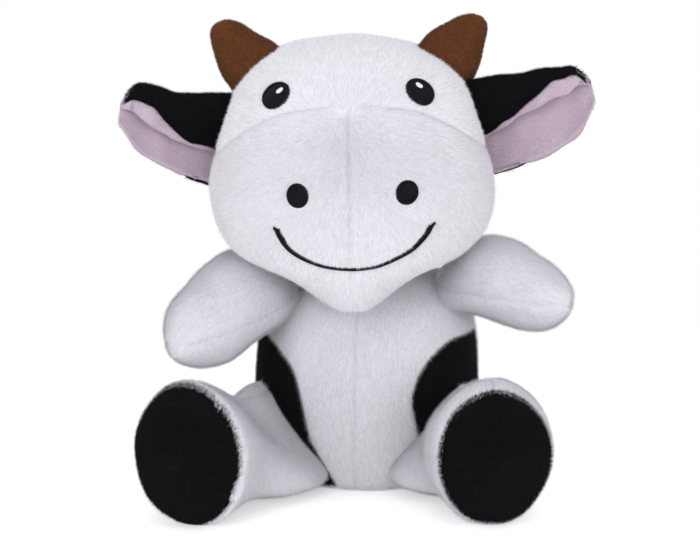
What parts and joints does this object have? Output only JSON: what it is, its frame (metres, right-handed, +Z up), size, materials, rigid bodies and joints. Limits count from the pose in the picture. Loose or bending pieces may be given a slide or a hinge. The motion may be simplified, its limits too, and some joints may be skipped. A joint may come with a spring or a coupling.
{
  "type": "plush cow",
  "caption": "Sitting stuffed cow sewn from short-pile plush: big soft muzzle, horns, side ears, arms and splayed legs with dark soles; limbs, head, ears and tail flex at their seams.",
  "frame": {"origin": "middle of the flat seat under the torso, on the surface it sits on", "axes": "+Z up, the cow faces -Y, +X to the right of someone who looks at its face"},
  "size_m": [0.2108, 0.1797, 0.208],
  "materials": {
    "white_plush": "short dense pile, 2 to 3 mm, cool white",
    "black_plush": "short dense pile, 2 to 3 mm, near black",
    "brown_plush": "very short velvety pile, brown",
    "pink_velour": "smooth short velour, pale pink",
    "black_thread": "satin-stitch embroidery thread",
    "white_thread": "satin-stitch embroidery thread",
    "stuffing": "loose polyester fibre",
    "pouch_cloth": "plain woven cotton bag of pellets"
  },
  "bodies": {
    "torso": {"belly_left": "white_plush", "belly_right": "white_plush", "flank_patch_left": "black_plush", "flank_patch_right": "black_plush", "back_left": "white_plush", "back_right": "white_plush", "seat_panel": "white_plush", "pellet_pouch": "pouch_cloth", "torso_stuffing": "stuffing"},
    "neck": {"neck_stuffing": "stuffing"},
    "head": {"forehead": "white_plush", "muzzle_left": "white_plush", "muzzle_right": "white_plush", "head_back_left": "white_plush", "head_back_right": "white_plush", "head_stuffing": "stuffing", "eye_left": "black_thread", "eye_right": "black_thread", "eye_glint_left": "white_thread", "eye_glint_right": "white_thread", "nostril_left": "black_thread", "nostril_right": "black_thread", "smile": "black_thread", "horn_left": "brown_plush", "horn_right": "brown_plush", "horn_stuffing_left": "stuffing", "horn_stuffing_right": "stuffing"},
    "ear_left": {"ear_back_left": "black_plush", "ear_lining_left": "pink_velour"},
    "ear_right": {"ear_back_right": "black_plush", "ear_lining_right": "pink_velour"},
    "arm_left": {"arm_upper_left": "white_plush", "arm_lower_left": "white_plush", "arm_stuffing_left": "stuffing"},
    "arm_right": {"arm_upper_right": "white_plush", "arm_lower_right": "white_plush", "arm_stuffing_right": "stuffing"},
    "leg_left": {"leg_inner_left": "white_plush", "leg_outer_left": "white_plush", "sole_left": "black_plush", "leg_stuffing_left": "stuffing"},
    "leg_right": {"leg_inner_right": "white_plush", "leg_outer_right": "white_plush", "sole_right": "black_plush", "leg_stuffing_right": "stuffing"},
    "tail": {"tail": "white_plush", "tail_tuft": "black_plush"}
  },
  "joints": [
    {"name": "neck_turn", "type": "hinge", "parent": "torso", "child": "neck", "pos_m": [-0.0055, -0.004, 0.097], "axis": [0, 0, 1], "range_deg": [-10, 10], "stiffness_Nm_per_rad": 0.4},
    {"name": "head_nod", "type": "hinge", "parent": "neck", "child": "head", "pos_m": [-0.0055, -0.004, 0.097], "axis": [1, 0, 0], "range_deg": [-10, 1.5], "stiffness_Nm_per_rad": 0.9},
    {"name": "shoulder_left", "type": "hinge", "parent": "torso", "child": "arm_left", "pos_m": [-0.036, -0.013, 0.088], "axis": [0, 1, 0], "range_deg": [-3, 14], "stiffness_Nm_per_rad": 0.06},
    {"name": "shoulder_right", "type": "hinge", "parent": "torso", "child": "arm_right", "pos_m": [0.036, -0.014, 0.09], "axis": [0, 1, 0], "range_deg": [-4, 16], "stiffness_Nm_per_rad": 0.06},
    {"name": "hip_left", "type": "hinge", "parent": "torso", "child": "leg_left", "pos_m": [-0.041, -0.015, 0.024], "axis": [0.9135, -0.4067, 0], "range_deg": [-9, 6], "stiffness_Nm_per_rad": 0.15},
    {"name": "hip_right", "type": "hinge", "parent": "torso", "child": "leg_right", "pos_m": [0.036, -0.012, 0.024], "axis": [0.9816, 0.1908, 0], "range_deg": [-9, 6], "stiffness_Nm_per_rad": 0.15},
    {"name": "ear_left_flop", "type": "hinge", "parent": "head", "child": "ear_left", "pos_m": [-0.06571, -0.00177, 0.1533], "axis": [0.2041, -0.0048, 0.9789], "range_deg": [-15, 15], "stiffness_Nm_per_rad": 0.006},
    {"name": "ear_right_flop", "type": "hinge", "parent": "head", "child": "ear_right", "pos_m": [0.05158, -0.00423, 0.15871], "axis": [0.2722, -0.0052, -0.9622], "range_deg": [-15, 15], "stiffness_Nm_per_rad": 0.006},
    {"name": "tail_swing", "type": "hinge", "parent": "torso", "child": "tail", "pos_m": [0.00592, 0.04208, 0.03599], "axis": [0.9903, -0.1392, 0], "range_deg": [-12, 15], "stiffness_Nm_per_rad": 0.01}
  ]
}
